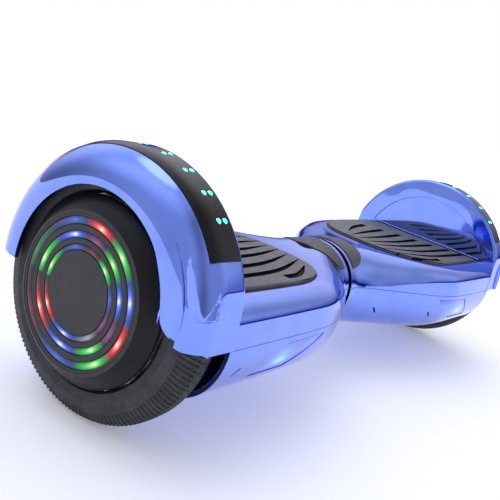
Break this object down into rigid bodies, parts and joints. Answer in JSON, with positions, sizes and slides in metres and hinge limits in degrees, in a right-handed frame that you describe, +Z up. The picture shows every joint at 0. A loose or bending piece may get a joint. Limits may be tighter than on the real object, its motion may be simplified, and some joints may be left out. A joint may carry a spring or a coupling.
{
  "type": "self balancing hoverboard",
  "caption": "Two-wheel self-balancing board: twin twisting foot decks over hub-motor wheels under arched fenders.",
  "frame": {"origin": "on the floor, midway between the two wheels", "axes": "+X along the board through both wheels, -Y towards the front, +Z up"},
  "size_m": [0.5744, 0.1838, 0.1791],
  "materials": {
    "blue_chrome": "vapour-metallised blue, mirror gloss",
    "pad_rubber": "matte moulded rubber",
    "gloss_black": "polished acrylic",
    "led_green": "lit lamp lens",
    "led_mixed": "lit light guide",
    "lamp_blue": "lit lens",
    "tyre_rubber": "solid rubber",
    "matte_plastic": "moulded, fine texture",
    "neck_plastic": "moulded, fine texture",
    "cast_aluminium": "as cast",
    "steel": "turned",
    "copper": "enamelled windings on a laminated core",
    "board_green": "solder mask",
    "shrink_wrap": "shrink film",
    "black_plastic": "moulded"
  },
  "bodies": {
    "left_half": {"left_top_shell": "blue_chrome", "left_bottom_shell": "blue_chrome", "left_neck_cover": "neck_plastic", "left_fender_strip": "gloss_black", "left_fender_lamps": "led_green", "left_head_lamp": "lamp_blue", "left_tail_lamp": "lamp_blue", "left_motor_stator": "copper", "left_axle": "steel", "left_chassis": "cast_aluminium", "left_axle_clamp": "steel", "left_foot_sensor": "board_green", "left_balance_board": "board_green", "battery_pack": "shrink_wrap", "pivot_tube": "steel", "pivot_stop_pin": "steel", "pivot_circlip": "steel", "centre_ring": "black_plastic", "power_switch": "black_plastic"},
    "right_half": {"right_top_shell": "blue_chrome", "right_bottom_shell": "blue_chrome", "right_neck_cover": "neck_plastic", "right_fender_strip": "gloss_black", "right_fender_lamps": "led_green", "right_head_lamp": "lamp_blue", "right_tail_lamp": "lamp_blue", "right_motor_stator": "copper", "right_axle": "steel", "right_chassis": "cast_aluminium", "right_axle_clamp": "steel", "right_foot_sensor": "board_green", "right_balance_board": "board_green", "pivot_bush": "black_plastic", "control_board": "board_green", "charge_port": "black_plastic"},
    "left_wheel": {"left_tyre": "tyre_rubber", "left_motor_rim": "cast_aluminium", "left_motor_side_cover": "cast_aluminium", "left_outer_bearing": "steel", "left_inner_bearing": "steel", "left_hub_cover": "matte_plastic", "left_light_ring_inner": "led_mixed", "left_light_ring_middle": "led_mixed", "left_light_ring_outer": "led_mixed", "left_wheel_light_board": "board_green"},
    "left_pad": {"left_foot_pad": "pad_rubber"},
    "right_wheel": {"right_tyre": "tyre_rubber", "right_motor_rim": "cast_aluminium", "right_motor_side_cover": "cast_aluminium", "right_outer_bearing": "steel", "right_inner_bearing": "steel", "right_hub_cover": "matte_plastic", "right_light_ring_inner": "led_mixed", "right_light_ring_middle": "led_mixed", "right_light_ring_outer": "led_mixed", "right_wheel_light_board": "board_green"},
    "right_pad": {"right_foot_pad": "pad_rubber"},
    "button": {"power_button": "steel"},
    "port_cap": {"charge_port_cap": "black_plastic"}
  },
  "joints": [
    {"name": "centre_twist", "type": "hinge", "parent": "left_half", "child": "right_half", "pos_m": [0, 0, 0.075], "axis": [1, 0, 0], "range_deg": [-12, 12]},
    {"name": "left_wheel_spin", "type": "hinge", "parent": "left_half", "child": "left_wheel", "pos_m": [-0.261, 0, 0.085], "axis": [1, 0, 0], "continuous": true},
    {"name": "right_wheel_spin", "type": "hinge", "parent": "right_half", "child": "right_wheel", "pos_m": [0.261, 0, 0.085], "axis": [1, 0, 0], "continuous": true},
    {"name": "left_pad_press", "type": "slide", "parent": "left_half", "child": "left_pad", "axis": [0, 0, -1], "range_m": [0, 0.001], "stiffness_N_per_m": 20000},
    {"name": "right_pad_press", "type": "slide", "parent": "right_half", "child": "right_pad", "axis": [0, 0, -1], "range_m": [0, 0.001], "stiffness_N_per_m": 20000},
    {"name": "power_press", "type": "slide", "parent": "left_half", "child": "button", "axis": [0, -1, 0], "range_m": [0, 0.0012], "stiffness_N_per_m": 1000},
    {"name": "port_cap_lift", "type": "hinge", "parent": "right_half", "child": "port_cap", "pos_m": [0.206, 0.0913, 0.0815], "axis": [1, 0, 0], "range_deg": [0, 110]}
  ]
}
